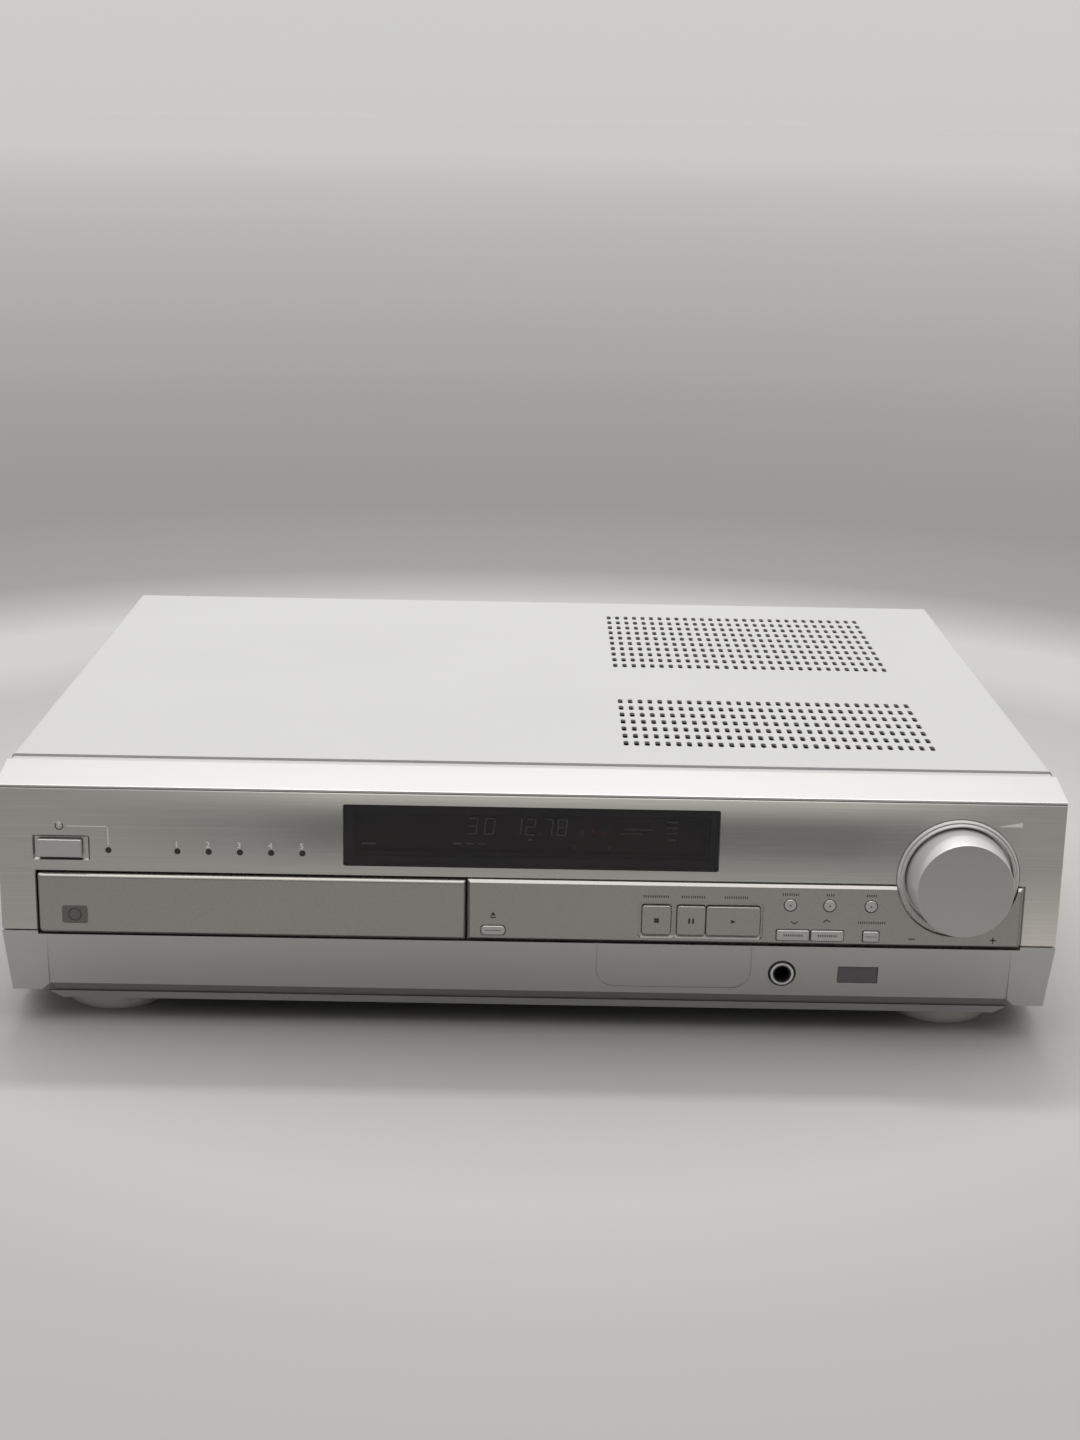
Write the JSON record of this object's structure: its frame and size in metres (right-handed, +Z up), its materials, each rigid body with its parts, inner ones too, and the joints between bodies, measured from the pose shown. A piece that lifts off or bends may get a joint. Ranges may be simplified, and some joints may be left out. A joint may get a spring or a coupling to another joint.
{
  "type": "disc receiver",
  "caption": "Slim disc receiver with a sliding disc drawer, front keys, a large round volume knob, a display window and a vented metal cover.",
  "frame": {"origin": "bottom centre of the whole unit's box, on the floor under the feet", "axes": "+Z up, +X to the right seen from the front, the front faces -Y"},
  "size_m": [0.43, 0.3608, 0.107],
  "materials": {
    "painted_cover": "pale silver satin paint",
    "steel_sheet": "zinc plated sheet",
    "silver_plastic": "satin silver paint",
    "bright_plastic": "pale satin silver paint",
    "hairline_plate": "horizontal hairline",
    "strip_plastic": "satin warm silver paint",
    "knob_metal": "satin turned",
    "smoked_window": "gloss",
    "tube_glass": "gloss",
    "foot_plastic": "satin",
    "black_plastic": "satin",
    "sensor_window": "gloss",
    "lens_plastic": "gloss",
    "circuit_board": "resin board",
    "bright_metal": "nickel plated",
    "aluminium_fins": "extruded",
    "mechanism_plastic": "moulded",
    "gear_plastic": "moulded",
    "belt_rubber": "matt",
    "steel_laminations": "varnished",
    "copper_winding": "taped winding",
    "capacitor_sleeve": "sleeved"
  },
  "bodies": {
    "chassis": {"ac_inlet": "black_plastic", "capacitors": "capacitor_sleeve", "changer_frame": "mechanism_plastic", "chassis_pan": "steel_sheet", "clamp_bridge": "steel_sheet", "control_strip": "strip_plastic", "cover_screws": "bright_metal", "display_tube": "tube_glass", "display_window": "smoked_window", "drive_belt": "belt_rubber", "face_plate": "hairline_plate", "fan_frame": "black_plastic", "feet": "foot_plastic", "foot_screws": "bright_metal", "front_bezel": "bright_plastic", "front_board": "circuit_board", "guide_rods": "bright_metal", "headphone_jack": "black_plastic", "heat_sink": "aluminium_fins", "indicator_lenses": "lens_plastic", "knob_ring": "knob_metal", "loading_motor": "bright_metal", "lower_band": "silver_plastic", "main_board": "circuit_board", "phono_sockets": "black_plastic", "power_board": "circuit_board", "power_modules": "black_plastic", "rear_panel": "steel_sheet", "remote_window": "sensor_window", "speaker_sockets": "black_plastic", "spindle_motor": "bright_metal", "stored_trays": "mechanism_plastic", "tact_switches": "black_plastic", "top_cover": "painted_cover", "transformer_core": "steel_laminations", "transformer_winding": "copper_winding", "traverse_plate": "steel_sheet", "tuner_module": "bright_metal", "volume_encoder": "bright_metal"},
    "drawer": {"drawer_front": "strip_plastic", "disc_tray": "mechanism_plastic"},
    "volume_control": {"volume_knob": "knob_metal", "encoder_shaft": "bright_metal"},
    "loading_gear": {"drive_gear": "gear_plastic"},
    "loading_pulley": {"motor_pulley": "gear_plastic"},
    "disc_table": {"turntable": "black_plastic"},
    "clamper": {"clamp_disc": "gear_plastic"},
    "pickup": {"laser_head": "black_plastic"},
    "rotor": {"fan_rotor": "black_plastic"},
    "power_key": {"power_button": "silver_plastic"},
    "open_close_key": {"open_close_button": "silver_plastic"},
    "stop_key": {"stop_button": "strip_plastic"},
    "pause_key": {"pause_button": "strip_plastic"},
    "play_key": {"play_button": "strip_plastic"},
    "repeat_key": {"repeat_button": "silver_plastic"},
    "mode_key": {"mode_button": "silver_plastic"},
    "preset_key": {"preset_button": "silver_plastic"},
    "tuning_down_key": {"tuning_down_button": "silver_plastic"},
    "tuning_up_key": {"tuning_up_button": "silver_plastic"},
    "selector_key": {"selector_button": "silver_plastic"}
  },
  "joints": [
    {"name": "drawer_slide", "type": "slide", "parent": "chassis", "child": "drawer", "axis": [0, -1, 0], "range_m": [0, 0.14]},
    {"name": "loading_gear_spin", "type": "hinge", "parent": "chassis", "child": "loading_gear", "pos_m": [-0.15285, -0.13895, 0.045], "axis": [0, 0, 1], "range_deg": [0, 670]},
    {"name": "loading_pulley_spin", "type": "hinge", "parent": "chassis", "child": "loading_pulley", "pos_m": [-0.10785, -0.13895, 0.04], "axis": [0, 0, 1], "range_deg": [0, 2898]},
    {"name": "volume_turn", "type": "hinge", "parent": "chassis", "child": "volume_control", "pos_m": [0.173, -0.16395, 0.0704], "axis": [0, -1, 0], "continuous": true},
    {"name": "disc_table_spin", "type": "hinge", "parent": "chassis", "child": "disc_table", "pos_m": [-0.11285, -0.09095, 0.043], "axis": [0, 0, 1], "continuous": true},
    {"name": "clamper_spin", "type": "hinge", "parent": "chassis", "child": "clamper", "pos_m": [-0.11285, -0.09095, 0.061], "axis": [0, 0, 1], "continuous": true},
    {"name": "pickup_slide", "type": "slide", "parent": "chassis", "child": "pickup", "axis": [0, 1, 0], "range_m": [0, 0.033]},
    {"name": "fan_spin", "type": "hinge", "parent": "chassis", "child": "rotor", "pos_m": [-0.03, 0.15805, 0.06], "axis": [0, 1, 0], "continuous": true},
    {"name": "power_key_press", "type": "slide", "parent": "chassis", "child": "power_key", "axis": [0, 1, 0], "range_m": [0, 0.0008], "stiffness_N_per_m": 300},
    {"name": "open_close_key_press", "type": "slide", "parent": "chassis", "child": "open_close_key", "axis": [0, 1, 0], "range_m": [0, 0.0008], "stiffness_N_per_m": 300},
    {"name": "stop_key_press", "type": "slide", "parent": "chassis", "child": "stop_key", "axis": [0, 1, 0], "range_m": [0, 0.0008], "stiffness_N_per_m": 300},
    {"name": "pause_key_press", "type": "slide", "parent": "chassis", "child": "pause_key", "axis": [0, 1, 0], "range_m": [0, 0.0008], "stiffness_N_per_m": 300},
    {"name": "play_key_press", "type": "slide", "parent": "chassis", "child": "play_key", "axis": [0, 1, 0], "range_m": [0, 0.0008], "stiffness_N_per_m": 300},
    {"name": "repeat_key_press", "type": "slide", "parent": "chassis", "child": "repeat_key", "axis": [0, 1, 0], "range_m": [0, 0.0008], "stiffness_N_per_m": 300},
    {"name": "mode_key_press", "type": "slide", "parent": "chassis", "child": "mode_key", "axis": [0, 1, 0], "range_m": [0, 0.0008], "stiffness_N_per_m": 300},
    {"name": "preset_key_press", "type": "slide", "parent": "chassis", "child": "preset_key", "axis": [0, 1, 0], "range_m": [0, 0.0008], "stiffness_N_per_m": 300},
    {"name": "tuning_down_key_press", "type": "slide", "parent": "chassis", "child": "tuning_down_key", "axis": [0, 1, 0], "range_m": [0, 0.0008], "stiffness_N_per_m": 300},
    {"name": "tuning_up_key_press", "type": "slide", "parent": "chassis", "child": "tuning_up_key", "axis": [0, 1, 0], "range_m": [0, 0.0008], "stiffness_N_per_m": 300},
    {"name": "selector_key_press", "type": "slide", "parent": "chassis", "child": "selector_key", "axis": [0, 1, 0], "range_m": [0, 0.0008], "stiffness_N_per_m": 300}
  ],
  "couplings": [
    {"joint": "loading_gear_spin", "follows": "drawer_slide", "rad_per_m": 83.333},
    {"joint": "loading_pulley_spin", "follows": "drawer_slide", "rad_per_m": 361.11}
  ]
}
